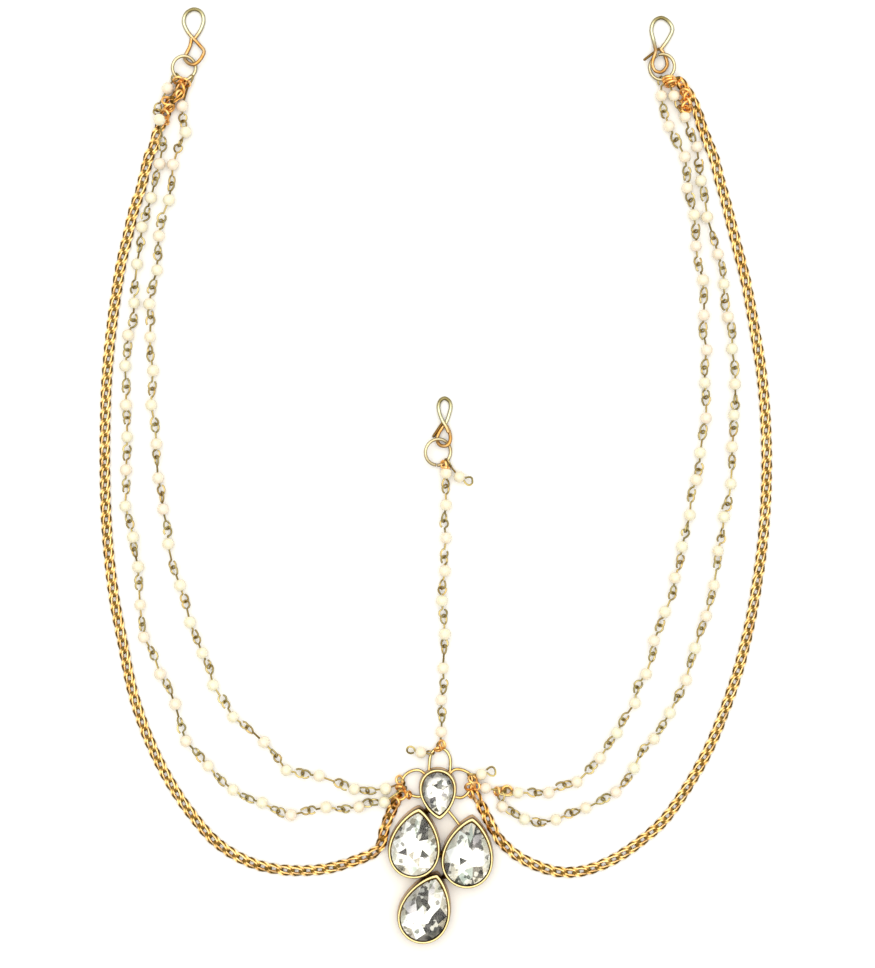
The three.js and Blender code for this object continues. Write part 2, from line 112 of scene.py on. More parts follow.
# Routes of the two curb chains, ring to pendant. Columns: x, y and, where lifted, z.
CURBS = {
    "left": [
        (-68.7, 106.2, 1.5), (-69.1, 103.5, 2.6), (-70.3, 101.8, 2.9), (-71.8, 100.4, 2.3),
        (-72.8, 98.6, 1.4), (-73.6, 96.3), (-75.3, 92.9), (-76, 89.5), (-77.4, 86.8),
        (-78.3, 83.6), (-80, 76.8), (-81.9, 71), (-83.5, 64), (-85.1, 57.5), (-86.8, 47),
        (-88.1, 37), (-89.1, 25.5), (-89.5, 14.5), (-89.6, 1), (-89.2, -12.5), (-88.4, -23),
        (-87, -34), (-84.9, -45), (-81.9, -59.5), (-77.8, -71.5), (-72.7, -82), (-66.5, -91.5),
        (-58.9, -100), (-49.5, -105.3), (-39.5, -107.2), (-29, -106.6), (-21, -104.2),
        (-17.2, -102.6), (-15.2, -100.8), (-14.5, -98.3), (-13.8, -95.6), (-12.9, -93),
        (-11.9, -90.9), (-10.9, -88.9, 1.1), (-9.6, -87.2, 1.2),
    ],
    "right": [
        (65, 106, 2), (66.6, 105.2, 1.8), (68, 103.4, 1.3), (69.2, 101.2), (70.5, 99),
        (71.3, 96.3), (72.1, 93.6), (73.2, 90.9), (74.5, 87.6), (75.5, 84.9), (76.8, 79.5),
        (78.4, 74), (80, 67.5), (81.6, 61.2), (83.8, 52.5), (86.2, 39.5), (88.1, 27.5),
        (89.2, 14.5), (89.5, 0), (88.6, -16.5), (86.5, -32), (83.8, -45.5), (79.7, -59.5),
        (72.7, -76.5), (62.2, -93), (56.2, -98.6), (48.4, -104), (40.3, -107.2), (33.5, -107.6),
        (27.5, -106), (22, -103.2), (17.9, -99.6), (16, -97), (14.6, -94.3), (13.3, -91.7),
        (12, -89.2), (11, -87.2), (10.5, -86.2),
    ],
}

# pearls: the middles of the pearls, columns x, y and, where lifted, z. head and foot: the
# point on the wire that the first and the last pin hook round, x, y, z. by: where the joint
# after a pearl is led aside by the curb chain, pearl number to x, y, z.
STRINGS = {
    "left_outer": {
        "head": (-70.33, 107.67, 1.5),
        "pearls": [
            (-72.5, 104.3), (-74.5, 95.5, 4), (-74.7, 83.9), (-77, 74.7), (-79.5, 66.8),
            (-80.8, 56.8), (-81.6, 46.3), (-83.2, 37.6), (-84, 29.3), (-83.8, 18.7), (-83.5, 10.1),
            (-83.8, 1.2), (-84, -8.6), (-81.9, -17), (-80.5, -25), (-80, -35.3), (-79, -44),
            (-74.6, -54), (-70.5, -62.1), (-67.6, -72.1), (-61.6, -78.8), (-54.9, -85.3),
            (-47, -88.8), (-39.2, -92.1), (-29.7, -90), (-20.8, -89.9), (-14, -88.6),
        ],
        "foot": (-8.8, -85, 1.2),
        "by": {0: (-75.5, 98.4, 1.9), 1: (-73.7, 89.2, 2.2)},
    },
    "left_inner": {
        "head": (-66.4, 107.25, 0.6),
        "pearls": [
            (-68.6, 99.5), (-67.7, 92.5), (-71.1, 83.7), (-72.2, 74.1), (-74.9, 64.4),
            (-75.4, 55.2), (-77.5, 46), (-77.3, 37.1), (-76.5, 28), (-77, 18.7), (-75.6, 8.2),
            (-75.1, -1), (-73.8, -9.4), (-72.4, -18.8), (-69.2, -30), (-66.5, -40), (-63.2, -48.3),
            (-60.3, -57), (-54.9, -65.6), (-46.5, -72.4), (-40.5, -80), (-31.6, -81.5),
            (-22.1, -85.1), (-13.6, -85),
        ],
        "foot": (-9.2, -83.4, 1.2),
    },
    "right_inner": {
        "head": (60.8, 106.65, 1.6),
        "pearls": [
            (60.9, 102.3), (63, 94.1), (67.3, 85.8), (67.9, 77.4), (69.8, 70.1), (70.3, 61.7),
            (72.2, 52.5), (72.4, 43), (73.2, 33.6), (72.7, 24.7), (73, 15.2), (71.4, 5.8),
            (70.3, -1.5), (68.6, -11), (66.5, -19.6), (64.6, -28), (61.9, -37.2), (58.9, -45),
            (56.8, -54), (53.8, -61.8), (48.9, -69.9), (44.3, -76.7), (38.1, -83.2), (30.5, -86.1),
            (22.2, -86.1), (13.4, -84.8),
        ],
        "foot": (9.7, -82.7, 1.2),
    },
    "right_outer": {
        "head": (62.3, 106.86, 2.1),
        "pearls": [
            (64.3, 102.3), (67.3, 96.6), (70.5, 88.5), (71.6, 79.3), (73.3, 69.5), (76.2, 59.5),
            (77.8, 51.4), (78.9, 42.5), (80, 33.9), (80.8, 24.4), (80.5, 16), (80, 7.4),
            (79.7, -2.6), (77.8, -11.5), (76.2, -20.7), (75.1, -30), (73, -38.3), (70, -47),
            (67.6, -55.6), (63.2, -64.5), (58.9, -71.5), (53.5, -79.4), (48.6, -85.9),
            (40.5, -90.2), (32.4, -93.4), (23.9, -93.2), (17.9, -89.8),
        ],
        "foot": (17.6, -86.6, 1.7),
    },
    "centre": {
        "head": (2.6, 3.05, 0.7),
        "pearls": [
            (2.7, 0.3), (2.7, -8.3), (2.7, -17.2), (2.4, -26.1), (1.6, -34.2), (2.4, -43.2),
            (1.9, -52.4), (1.4, -61), (1.4, -69.6),
        ],
        "foot": (1.1, -74, 1.2),
    },
}

# A pearl on a pin with an open eye. hook: the point that its near eye hooks round.
TAILS = {
    "centre_ring": {"hook": (3.0, 3.4, 0.9), "pearl": (6.3, -0.7), "eye": (8.7, -1.7)},
    "bail": {"hook": (-1.2, -75.3, 1.2), "pearl": (-4.1, -75.2), "eye": (-6.8, -74.5)},
    "right_loop": {"hook": (9.3, -81.3, 1.2), "pearl": (12.3, -81.1), "eye": (15.0, -80.4)},
}

# Columns: middle of the round end x and y, turn of the tip clockwise from +Y, width,
# length, height.
CUPS = {
    "top": (0.5, -84.8, 176.5, 10.4, 14.3, 4.4),
    "left": (-5.9, -101.4, 6.5, 14.4, 19.7, 5.0),
    "right": (8.4, -104.0, 7, 14.4, 19.8, 5.0),
    "bottom": (-3.3, -118.9, 18, 14.4, 20.0, 5.0),
}

# Drops of solder between the cups. Columns: x, y, radius.
SOLDER = [(-2.2, -90.8, 0.9), (1.2, -102.6, 0.8), (-2.7, -108.4, 0.8), (2.6, -108.5, 0.9)]

# Wires soldered to the cups. Columns: x, y.
SIDE_LOOPS = {
    "left": [
        (-2.8, -81.1), (-4.6, -80), (-6.5, -80.2), (-8.4, -81.4), (-9.2, -83.4), (-8.6, -85.2),
        (-6.8, -86.7), (-4.9, -87.2), (-3.4, -87),
    ],
    "right": [
        (3.6, -81), (5.2, -79.8), (7.6, -80.1), (9.5, -81.5), (9.6, -84), (8.7, -86.1), (7, -87.4),
        (4.9, -87.2),
    ],
}
BAIL = [
    (-1.9, -80.6), (-1.8, -78.4), (-1.5, -76.2), (-0.5, -74.6), (1.1, -74), (2.7, -74.7),
    (3.7, -76.3), (3.9, -78.5), (3.7, -80.7),
]
STRUT = [(3.2, -90.9), (4.9, -92.9), (6.4, -94.9)]

# Orange jump rings piled at the joints. Columns as in RINGS.
JOINT_RINGS = {
    "left_end": [
        (-69.6, 106.4, 1.7, 1.3, 50, 90), (-67.7, 105.9, 1.9, 1.4, 60, 60),
        (-68.7, 104.3, 2.4, 1.4, 62, 20), (-69.1, 102.5, 2.8, 1.1, 40, 150),
        (-72.6, 100.8, 2.6, 1.3, 35, 250), (-72.0, 98.9, 2.3, 1.3, 55, 120),
        (-73.2, 97.2, 2.1, 1.4, 48, 30), (-73.0, 95.6, 1.9, 1.1, 60, 200),
    ],
    "right_end": [
        (62.9, 106.8, 2.0, 1.6, 72, 96), (63.2, 106.1, 2.0, 1.7, 70, 100),
        (63.6, 105.5, 2.0, 1.6, 72, 104), (66.2, 105.8, 2.4, 0.8, 60, 40),
        (67.4, 103.0, 2.0, 1.4, 55, 60), (67.9, 102.0, 2.2, 1.2, 45, 150),
        (67.5, 100.3, 1.9, 1.5, 50, 20), (67.7, 99.4, 1.8, 1.6, 50, 140),
        (67.5, 98.7, 1.7, 1.3, 35, 250),
    ],
    "centre_joint": [(2.1, 2.6, 1.6, 1.0, 48, 10), (2.7, 1.6, 1.7, 0.9, 70, 80)],
    "bail_joint": [(1.7, -73, 1.7, 1.1, 50, 20), (0.6, -74.3, 1.8, 0.9, 60, 100)],
    "left_loop": [
        (-9.8, -82.6, 1.8, 1.1, 35, 200), (-9.6, -84.8, 2.0, 1.2, 60, 80),
        (-9.4, -86.7, 1.8, 1.3, 35, 300), (-10.9, -88.5, 1.7, 1.3, 45, 20),
        (-7.3, -86.6, 2.1, 0.9, 55, 180),
    ],
    "right_loop": [
        (9.9, -82.4, 1.9, 1.2, 50, 240), (9.2, -84.4, 2.1, 1.3, 40, 100),
        (9.3, -86.3, 1.8, 1.2, 58, 20), (10.9, -84.3, 1.7, 1.0, 30, 0),
    ],
    "right_strings": [(16.5, -85.7, 1.4, 1.0, 50, 0), (19.2, -85.5, 1.1, 1.3, 14, 90)],
}

# ---- Curves and grids ----

# Rows of a wire's end: how far past it and how wide each lies, in wire radii.
DOME = np.array([(1.0, 0.0), (0.87, 0.5), (0.5, 0.87)])
CUT = np.array([(0.0, 0.0)])
WIRE_SIDES, THICK_WIRE_SIDES = 8, 10
SPAN_STEPS = 24  # fine steps of a curve from one of its points to the next
SAME_POINT = 0.0002 * MM  # points this close are merged
NO_LENGTH = 0.0001 * MM  # edges this short are dropped
CREASE = np.radians(50)


def unit(vectors):
    """Each vector divided by its length."""
    return vectors / np.linalg.norm(vectors, axis=-1, keepdims=True)


def turns(count):
    """Even steps of a full turn from 0 on, in radians."""
    return np.linspace(0, 2 * np.pi, count, endpoint=False)


def places(rows, height):
    """Table rows in millimetres as points in metres; a row without a z lies at height."""
    return np.array([(*row[:2], row[2] if len(row) > 2 else height / MM) for row in rows]) * MM


def smooth(points, steps):
    """A centripetal Catmull-Rom curve through the points, cut into steps of equal length.

    From a to b it is a + (b - a) (3 u^2 - 2 u^3), plus the direction in which it leaves a times
    u (1 - u)^2, less the one in which it arrives at b times u^2 (1 - u).
    """
    run = np.vstack([2 * points[:1] - points[1:2], points, 2 * points[-1:] - points[-2:-1]])
    before, start, end, after = (run[k : len(run) - 3 + k] for k in range(4))
    gaps = [np.sqrt(np.linalg.norm(b - a, axis=1, keepdims=True))
            for a, b in ((before, start), (start, end), (end, after))]
    leave = (start - before) / gaps[0] - (end - before) / (gaps[0] + gaps[1])
    leave = (leave + (end - start) / gaps[1]) * gaps[1]
    arrive = (end - start) / gaps[1] - (after - start) / (gaps[1] + gaps[2])
    arrive = (arrive + (after - end) / gaps[2]) * gaps[1]
    u = np.linspace(0, 1, SPAN_STEPS, endpoint=False)[:, None]
    blend = u * u * (3 - 2 * u)
    a, b, c, d = (rows[:, None] for rows in (start, end, leave, arrive))
    fine = (1 - blend) * a + blend * b + u * (1 - u) ** 2 * c - u * u * (1 - u) * d
    fine = np.vstack([fine.reshape(-1, 3), run[-2]])
    travel = np.append(0, np.cumsum(np.linalg.norm(np.diff(fine, axis=0), axis=1)))
    stops = np.linspace(0, travel[-1], steps)
    return np.stack([np.interp(stops, travel, fine[:, k]) for k in range(3)], axis=1)


def length(points):
    """The sum of the distances from each point to the next."""
    return np.linalg.norm(np.diff(points, axis=0), axis=1).sum()


def wire(paths, radius, up=(0, 0, 1), sides=WIRE_SIDES, closed=False, end=DOME):
    """Round wires, one for each path: at every point a circle square to the path.

    The path runs there as from the point before to the point after. A point of the circle lies
    cos(a) to the side and sin(a) up, the side being square to up and to the path. Gives a grid:
    wire, row along it, column round it, xyz.
    """
    paths = np.asarray(paths, float).reshape(-1, *np.shape(paths)[-2:])
    if closed:
        along = unit(np.roll(paths, -1, 1) - np.roll(paths, 1, 1))
    else:
        along = unit(np.gradient(paths, axis=1))
    side = unit(np.cross(up, along))
    radii = np.full(paths.shape[1], radius)
    if not closed:
        out, size = radius * end.T
        first = paths[:, :1] - along[:, :1] * out[:, None]
        last = paths[:, -1:] + along[:, -1:] * out[::-1, None]
        paths = np.concatenate([first, paths, last], 1)
        radii = np.concatenate([size, radii, size[::-1]])
        margin = ((0, 0), (len(out), len(out)), (0, 0))
        along, side = (np.pad(vectors, margin, "edge") for vectors in (along, side))
    lift = np.cross(along, side)
    turn = turns(sides)[:, None]
    circle = np.cos(turn) * side[:, :, None] + np.sin(turn) * lift[:, :, None]
    return paths[:, :, None] + radii[:, None, None] * circle


class Shells:
    """Closed surfaces, given as grids of points, that together make one piece.

    Four neighbouring points of a grid make a face. The columns run round and meet; the rows
    end in single points, or run round too where closed. Each point also carries how much
    painted shade it has, as in a hollow or between parts, and how warm its metal is.
    """

    def __init__(self):
        self.points, self.faces, self.marks = [], [], {"recess": [], "warm": []}
        self.count = 0

    def add(self, grid, closed=False, recess=0.0, warm=0.5):
        """Takes in grids of the same shape; painted shade and warmth go by grid, row and column.
        """
        kinds, rows, columns = grid.shape[:3]
        index = self.count + np.arange(kinds * rows * columns).reshape(kinds, rows, columns)
        ahead = np.roll(index, -1, 1)
        if not closed:
            index, ahead = index[:, :-1], ahead[:, :-1]
        corners = [index, np.roll(index, -1, 2), np.roll(ahead, -1, 2), ahead]
        self.faces.append(np.stack(corners, -1).reshape(-1, 4))
        self.points.append(grid.reshape(-1, 3))
        for key, value in (("recess", recess), ("warm", warm)):
            value = np.asarray(value, float)
            value = value.reshape(value.shape + (1,) * (3 - value.ndim))
            self.marks[key].append(np.broadcast_to(value, grid.shape[:3]).reshape(-1))
        self.count += kinds * rows * columns
        return self

    def make(self, name, finish, slot, node=None, shade=1.0):
        """The mesh, with its doubled points merged and its edges over the crease kept sharp.

        A point that looks sideways or down gets painted shade too: shade times as far as it
        turns away from straight up.
        """
        mesh = bpy.data.meshes.new(name)
        mesh.from_pydata(np.concatenate(self.points), [], np.concatenate(self.faces))
        for key, values in self.marks.items():
            layer = mesh.attributes.new(key, "FLOAT", "POINT")
            layer.data.foreach_set("value", np.concatenate(values).astype(np.float32))
        weld(mesh)
        mesh.shade_smooth()
        mesh.set_sharp_from_angle(angle=CREASE)
        normals = np.empty(len(mesh.vertices) * 3, np.float32)
        mesh.vertices.foreach_get("normal", normals)
        painted_shade_level = np.empty(len(mesh.vertices), np.float32)
        layer = mesh.attributes["recess"].data
        layer.foreach_get("value", painted_shade_level)
        # painted shade on the sides that turn away from straight up
        turned = shade * (1 - np.clip(normals.reshape(-1, 3)[:, 2], 0, 1))
        layer.foreach_set("value", np.maximum(painted_shade_level, turned).astype(np.float32))
        settle(name, mesh, [finish], node)


def weld(mesh, merge=True):
    """Turns every face outwards, once coinciding points are merged and empty faces dropped."""
    body = bmesh.new()
    body.from_mesh(mesh)
    if merge:
        bmesh.ops.remove_doubles(body, verts=body.verts, dist=SAME_POINT)
        bmesh.ops.dissolve_degenerate(body, edges=body.edges, dist=NO_LENGTH)
    bmesh.ops.recalc_face_normals(body, faces=body.faces)
    body.to_mesh(mesh)
    body.free()


def put(name, data):
    """A new object of the scene, at the origin."""
    item = bpy.data.objects.new(name, data)
    scene.collection.objects.link(item)
    return item


def settle(name, mesh, finishes, node=None):
    """Puts a mesh into the scene as a piece of the object, in place of its CAD node."""
    for finish in finishes:
        mesh.materials.append(finish)
    item = put(name, mesh)
    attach(item, "root")
    if node:
        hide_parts(node)


# ---- Finishes ----

SKIN_DEPTH = 0.02 * MM


def add_node(tree, kind, inputs=(), **settings):
    """A node of a material, with its settings, and its inputs linked to sockets or set."""
    node = tree.nodes.new("ShaderNode" + kind)
    for key, value in settings.items():
        setattr(node, key, value)
    for key, value in dict(inputs).items():
        if isinstance(value, bpy.types.NodeSocket):
            tree.links.new(value, node.inputs[key])
        else:
            node.inputs[key].default_value = value
    return node


def ramp(tree, factor, stops):
    """A colour ramp through stops, each a place from 0 to 1 and a colour."""
    node = add_node(tree, "ValToRGB", {"Fac": factor})
    elements = node.color_ramp.elements
    while len(elements) < len(stops):
        elements.new(0.5)
    for element, (place, colour) in zip(elements, stops):
        element.position = place
        element.color = (*colour, 1)
    return node.outputs["Color"]


def mix(tree, factor, first, second, blend="MIX"):
    """Mixes two colours; each may be a socket or a colour."""
    colours = [c if isinstance(c, bpy.types.NodeSocket) else (*c, 1) for c in (first, second)]
    inputs = {0: factor, 6: colours[0], 7: colours[1]}  # factor, A and B of a colour mix
    return add_node(tree, "Mix", inputs, data_type="RGBA", blend_type=blend).outputs[2]


def math(tree, operation, *values, clamp=False):
    """The result of one operation on sockets or numbers."""
    node = add_node(tree, "Math", enumerate(values), operation=operation, use_clamp=clamp)
    return node.outputs[0]


def attribute(tree, key):
    """A number that each point of a piece carries."""
    return add_node(tree, "Attribute", attribute_name=key).outputs["Fac"]


def finish(name, constants):
    """A new material whose shader has these constants on its own sockets."""
    material = bpy.data.materials.new(name)
    material.use_nodes = True
    tree = material.node_tree
    shader = tree.nodes["Principled BSDF"]
    for key, value in constants.items():
        shader.inputs[key].default_value = value
    return material, tree, shader


def pattern(tree, shader, patterns):
    """Lets each of these sockets decide one of the shader's inputs."""
    for key, socket in patterns.items():
        tree.links.new(socket, shader.inputs[key])


def noise(tree, scale, detail=3.0, rough=0.55):
    """Noise in the object's own space; scale is the number of blobs in a metre."""
    spot = add_node(tree, "TexCoord").outputs["Object"]
    inputs = {"Vector": spot, "Scale": scale, "Detail": detail, "Roughness": rough}
    return add_node(tree, "TexNoise", inputs).outputs["Fac"]


def rescale(tree, value, low, high, start=0.0, stop=1.0):
    """Runs from low to high while the value runs from start to stop."""
    inputs = {"Value": value, "From Min": start, "From Max": stop, "To Min": low, "To Max": high}
    return add_node(tree, "MapRange", inputs).outputs["Result"]


def skin(tree, height, strength):
    """Normals of a slightly uneven skin."""
    inputs = {"Height": height, "Strength": strength, "Distance": SKIN_DEPTH}
    return add_node(tree, "Bump", inputs).outputs["Normal"]


def plated(name, crest, body, recess, warm_tone, roughness):
    """Gold plating, with a painted highlight on its crests and brown painted shade where it turns
    down or lies in a hollow.

    The plating is warmer on some wires than on others, with soft patches a few millimetres
    across, fine wear in its gloss and a slightly uneven skin.
    """
    material, tree, shader = finish(name, {"Metallic": 1.0})
    patches = noise(tree, 420)
    wear = noise(tree, 5200, 4.0, 0.65)
    # the painted shade picks the colour from lit crest to shaded hollow, shifted by random patches
    painted_shade_level = math(tree, "SUBTRACT", patches, 0.5)
    painted_shade_level = math(tree, "MULTIPLY_ADD", painted_shade_level, 0.35, attribute(tree, "recess"))
    colour = ramp(tree, painted_shade_level, ((0.08, crest), (0.32, body), (0.62, recess), (1.0, recess)))
    warmth = math(tree, "MULTIPLY", patches, attribute(tree, "warm"))
    warmth = math(tree, "MULTIPLY", warmth, 1.7, clamp=True)
    pattern(tree, shader, {
        "Base Color": mix(tree, warmth, colour, warm_tone, "MULTIPLY"),
        "Roughness": rescale(tree, wear, roughness * 0.7, roughness * 1.5, 0.3, 0.7),
        "Normal": skin(tree, wear, 0.25),
    })
    return material


# Crest colour, a painted highlight; body colour; colour in painted shade; the tint of the warmest
# metal; and roughness.
HOOK_GOLD = plated(
    "hook_gold", (0.8, 0.81, 0.58), (0.53, 0.5, 0.29), (0.22, 0.18, 0.07), (1, 0.5, 0.18), 0.4)
PIN_GOLD = plated(
    "pin_gold", (0.66, 0.6, 0.31), (0.46, 0.4, 0.16), (0.26, 0.21, 0.08), (1, 0.66, 0.4), 0.36)
CURB_GOLD = plated(
    "curb_gold", (1, 0.79, 0.48), (0.92, 0.63, 0.28), (0.12, 0.08, 0.02), (1, 0.7, 0.38), 0.3)
JOINT_GOLD = plated(
    "joint_gold", (1, 0.8, 0.42), (0.88, 0.52, 0.14), (0.38, 0.18, 0.035), (1, 0.68, 0.34), 0.34)
BEZEL_GOLD = plated(
    "bezel_gold", (0.88, 0.73, 0.37), (0.5, 0.36, 0.12), (0.07, 0.04, 0.01), (1, 0.72, 0.4), 0.3)


def pearl_lustre():
    """Cream nacre: a soft body under a thin gloss, each pearl a little greener or pinker."""
    material, tree, shader = finish("pearl_lustre", {
        "Roughness": 0.32,
        "Coat Weight": 0.6,
        "Coat Roughness": 0.12,
        "Subsurface Weight": 0.25,
        "Subsurface Scale": 0.8 * MM,
        "Subsurface Radius": (1.0, 0.8, 0.55),
    })
    tints = ((0.0, (0.8, 0.79, 0.57)), (0.5, (0.85, 0.75, 0.55)), (1.0, (0.86, 0.7, 0.6)))
    pearl_shade_tints = ((0.0, (1, 1, 1)), (0.7, (0.97, 0.95, 0.9)), (1.0, (0.8, 0.72, 0.58)))
    body = ramp(tree, attribute(tree, "warm"), tints)
    bands = mix(tree, noise(tree, 900, 2.0), body, (0.87, 0.81, 0.67))
    # painted shade: browner round the drill holes and where the pearl turns sideways or down
    drill = ramp(tree, attribute(tree, "recess"), pearl_shade_tints)
    pattern(tree, shader, {
        "Base Color": mix(tree, 1.0, bands, drill, "MULTIPLY"),
        "Normal": skin(tree, noise(tree, 2600, 2.0), 0.15),
    })
    return material


PEARL_LUSTRE = pearl_lustre()

# ---- Hooks and rings ----

HOOK_STEPS, CUT_END_STEPS = 90, 10
RING_STEPS, JOINT_RING_STEPS = 44, 16
RING_SEAM = 200  # heading of the cut in a hook's ring, in degrees
SEAM_GAP = 6  # degrees of a ring left open at its cut
JOINT_RING_TURN = 70  # degrees from one joint ring's cut to the next one's


def wire_hook(place):
    """A hook's wire and its other cut end.

    The loop is pale, and past the neck the metal is warmer. It is darker at the top of the loop:
    0.6 exp(-(distance from the top / 2 mm)^2). The other cut end is darker all over.
    """
    rows = HOOKS[place]
    path = smooth(places(rows["wire"], 0), HOOK_STEPS)
    path[:, 2] = np.maximum(path[:, 2], HOOK_WIRE / 2)
    grid = wire(path, HOOK_WIRE / 2, sides=THICK_WIRE_SIDES)
    y = grid[:, :, 0, 1]
    warm = np.clip(0.1 - (y - rows["neck"] * MM - 2 * MM) / (3 * MM), 0.05, 1)
    darker_top = 0.6 * np.exp(-((y - y.max()) / (2 * MM)) ** 2)
    shells = Shells()
    shells.add(grid, recess=darker_top, warm=warm)
    if "cut_end" in rows:
        end = smooth(places(rows["cut_end"], 0), CUT_END_STEPS)
        shells.add(wire(end, CUT_END_WIRE / 2), recess=0.75, warm=0.7)
    shells.make(place + "_hook_wire", HOOK_GOLD, "pale_gold", place + "_hook")


def jump_ring(row, thickness, seam, steps):
    """A wire ring, cut at the heading seam: middle + radius (cos(a) u + sin(a) v).

    u is level and v rises towards the ring's heading, at its tilt.
    """
    middle, radius = np.array(row[:3]) * MM, row[3] * MM
    tilt, heading = np.radians(row[4:])
    middle[2] = max(middle[2], radius * np.sin(tilt) + thickness / 2)
    normal = (-np.sin(tilt) * np.cos(heading), -np.sin(tilt) * np.sin(heading), np.cos(tilt))
    normal = unit(np.array(normal))
    u = unit(np.cross((0, 0, 1), normal))
    v = np.cross(normal, u)
    angle = np.radians(seam + np.linspace(SEAM_GAP / 2, 360 - SEAM_GAP / 2, steps))[:, None]
    path = middle + radius * (np.cos(angle) * u + np.sin(angle) * v)
    return wire(path, thickness / 2, up=normal, end=CUT)


def end_ring(place):
    """The ring under a hook, lying tilted with one side on the surface."""
    ring = jump_ring(RINGS[place], RING_WIRE, RING_SEAM, RING_STEPS)
    shells = Shells().add(ring, recess=0.12, warm=0.35)
    shells.make(place + "_ring_wire", HOOK_GOLD, "pale_gold", place + "_ring")


for place in HOOKS:
    wire_hook(place)
    end_ring(place)


def joint_rings(place):
    """Small rings that hold the chains and strings together, piled one through another."""
    shells = Shells()
    for number, row in enumerate(JOINT_RINGS[place]):
        ring = jump_ring(row, JOINT_WIRE, JOINT_RING_TURN * number, JOINT_RING_STEPS)
        shells.add(ring, warm=0.75 + 0.12 * (number % 3))
    shells.make(place + "_rings", JOINT_GOLD, "orange_gold", shade=0.3)


for place in JOINT_RINGS:
    joint_rings(place)

# ---- Curb chains ----

LINK_STEPS, LINK_SIDES = 14, 6
LINK_HALF = (CURB_PITCH + CURB_WIRE) / 2  # half a link's centre line, along the chain
LINK_TWIST = np.radians(45)
LINK_FLAT = 0.34 * MM  # half the height left when the links are ground flat
LINK_OVAL = 0.7  # power of the sine; below 1 the sides are straighter than an ellipse's
EVERY_OTHER = 0.06  # how much taller every second link is, so that no two flats are level
ROLL, END_ROLL = 5, 20  # degrees: how unevenly the links lie, and how much more at the ends
RING_END, PENDANT_END = 45, 22  # how fast a chain settles from either end


def link_painted_shade(angle):
    """Painted shade on each point of a link: at its ends, one inside the next, and on its outer
    sides.

    The ends are shaded where |cos a| is over 0.9 and fade out at 0.65. The sides are shaded where
    |sin a| is over 0.96, in a band above and one below the outermost line, which stays bright,
    and fade out at 0.54. A point has the larger of the two.
    """
    ends = 0.65 * np.clip(np.abs(np.cos(angle)) * 4 - 2.6, 0, 1)
    flanks = np.clip(np.abs(np.sin(angle)) * 2.4 - 1.3, 0, 1)
    turn = turns(LINK_SIDES)
    outer = np.where(np.cos(turn) < 0, 0.25 + 0.8 * np.sin(turn) ** 2, 0)
    return np.maximum(ends[:, None], flanks[:, None] * outer)


def curb_links(side):
    """One twisted oval link every pitch along the route.

    A link's centre line is (a, b cos t, b sin t), where (a, b) runs round a full oval and the
    twist t goes from -45 degrees at one end of the link to 45 at the other, so that each link
    lies flat and passes through its neighbours. What stands above or below the flat is cut off.
    """
    route = places(CURBS[side], CURB_ON_SURFACE)
    count = int(length(smooth(route, 400)) / CURB_PITCH)
    middles = smooth(route, 2 * count + 1)[1::2]
    at = np.linspace(0, 1, count)
    near_end = np.exp(-at * RING_END) + np.exp((at - 1) * PENDANT_END)
    roll = (rng.normal(0, 1, count) * np.radians(ROLL + END_ROLL * near_end))[:, None]
    along = unit(np.gradient(middles, axis=0))
    across = unit(np.cross((0, 0, 1), along))
    above = np.cross(along, across)
    angle = turns(LINK_STEPS)
    a = LINK_HALF * np.cos(angle)
    b = (CURB_WIDTH - CURB_WIRE) / 2 * np.sign(np.sin(angle)) * np.abs(np.sin(angle)) ** LINK_OVAL
    twist = LINK_TWIST * a / LINK_HALF
    shape = np.stack([a, b * np.cos(twist), b * np.sin(twist)], 1)
    normal = np.stack([np.zeros_like(a), -np.sin(twist), np.cos(twist)], 1)
    link = wire(shape, CURB_WIRE / 2, up=normal, sides=LINK_SIDES, closed=True)[0]
    link[..., 2] = np.clip(link[..., 2], -LINK_FLAT, LINK_FLAT)
    rolled = np.cos(roll) * across + np.sin(roll) * above
    lifted = np.cos(roll) * above - np.sin(roll) * across
    lifted *= (1 + EVERY_OTHER * (np.arange(count) % 2))[:, None]
    axes = np.stack([along, rolled, lifted], 1)
    grid = middles[:, None, None] + np.einsum("rsk,nkc->nrsc", link, axes)
    lowest = grid[..., 2].min(axis=(1, 2))
    grid[..., 2] += np.clip(-lowest, 0, None)[:, None, None]  # rolled links rest on the surface
    warm = np.clip(0.3 + 0.3 * rng.random(count) + 0.7 * near_end, 0, 1)
    # painted shade at the link ends and outer sides, and where the links turn away from straight
    # up
    shells = Shells().add(grid, closed=True, recess=link_painted_shade(angle)[None], warm=warm)
    shells.make(side + "_curb_links", CURB_GOLD, "orange_gold", side + "_curb_chain", shade=0.5)


for side in CURBS:
    curb_links(side)

# ---- Pearls on eye pins ----

EYE_STEPS = 13
EYE_START = 196.0  # degrees round an eye from its joint, where the wire comes in
EYE_CLOSE = (490, 522)  # and where it ends, having passed the joint
EYE_LONG, EYE_WIDE, EYE_EGG = (0.95, 1.25), (0.85, 1.05), (-0.1, 0.35)  # least and most
LOOSE_END = 0.45  # how far one end in four stands out, in eye radii
PIN_SIDES = 5
ON_WIRE = EYE_RADIUS - PIN_WIRE / 2  # from an eye's middle to where another wire touches it
ON_RING = ON_WIRE - RING_WIRE / 2  # and to the middle of a ring's wire
JOINT_HEIGHT = 1.35 * MM
JOINT_LIFT = 0.3 * MM  # at most, above that height
JOINT_ASIDE = 0.35 * MM  # spread to either side
JOINT_SHARE = (0.4, 0.6)  # of the way from one pearl to the next
EYE_ROLL = (20, 50)  # degrees that one eye at a joint leans
EYE_CROSS = (64, 90)  # and that the other is turned from it

